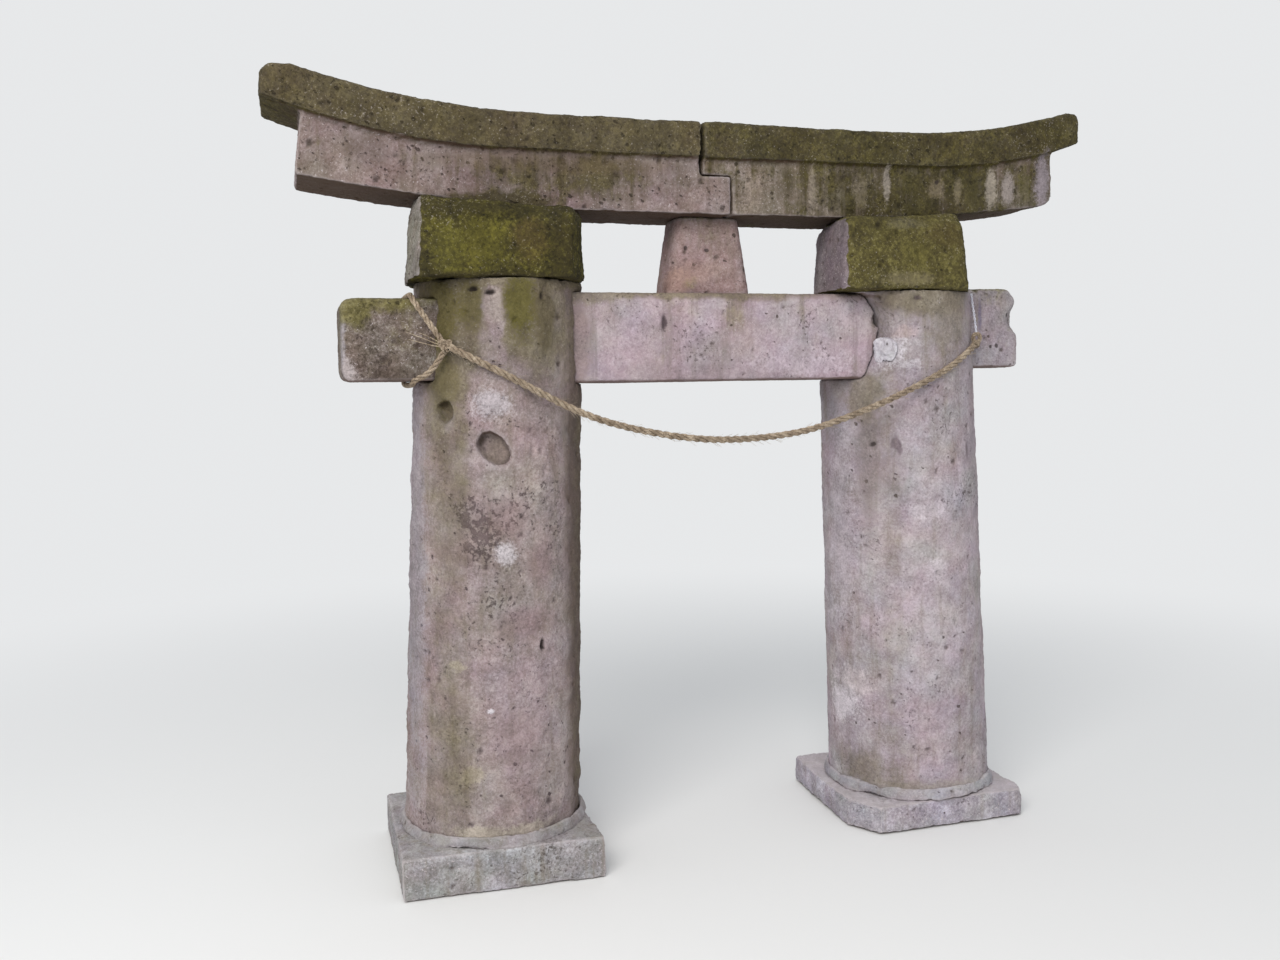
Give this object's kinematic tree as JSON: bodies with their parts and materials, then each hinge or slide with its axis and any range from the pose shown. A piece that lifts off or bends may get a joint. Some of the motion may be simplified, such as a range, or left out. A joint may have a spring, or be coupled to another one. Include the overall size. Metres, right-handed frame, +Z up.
{
  "type": "stone torii gate",
  "caption": "Small weathered stone torii gate with leaning round pillars, warped lintel joined from two stones, moss and a straw rope slung across its front.",
  "frame": {"origin": "on the ground, midway between the lintel's two tips and midway between the plinths' front and back", "axes": "+X along the gate to the viewer's right, +Y away from the viewer through the gate, +Z up"},
  "size_m": [2.816, 0.646, 2.527],
  "materials": {
    "weathered_stone": "rough pitted",
    "mossy_stone": "rough with moss",
    "cement": "rough cast",
    "mortar": "rough",
    "straw_rope": "twisted straw",
    "white_string": "matt"
  },
  "bodies": {
    "root": {"pillar_left": "weathered_stone", "pillar_right": "weathered_stone", "tie_beam": "weathered_stone", "tie_stub_left": "weathered_stone", "tie_stub_right": "weathered_stone", "strut": "weathered_stone", "lintel_left": "mossy_stone", "lintel_right": "mossy_stone", "cap_left": "mossy_stone", "cap_right": "mossy_stone", "plinth_left": "cement", "plinth_right": "cement", "mortar_collar_left": "cement", "mortar_collar_right": "cement", "mortar_patch": "mortar", "rope_span": "straw_rope", "rope_loop": "straw_rope", "rope_knot": "straw_rope", "rope_tail": "straw_rope", "rope_eye": "straw_rope", "hanging_string": "white_string"}
  },
  "joints": []
}
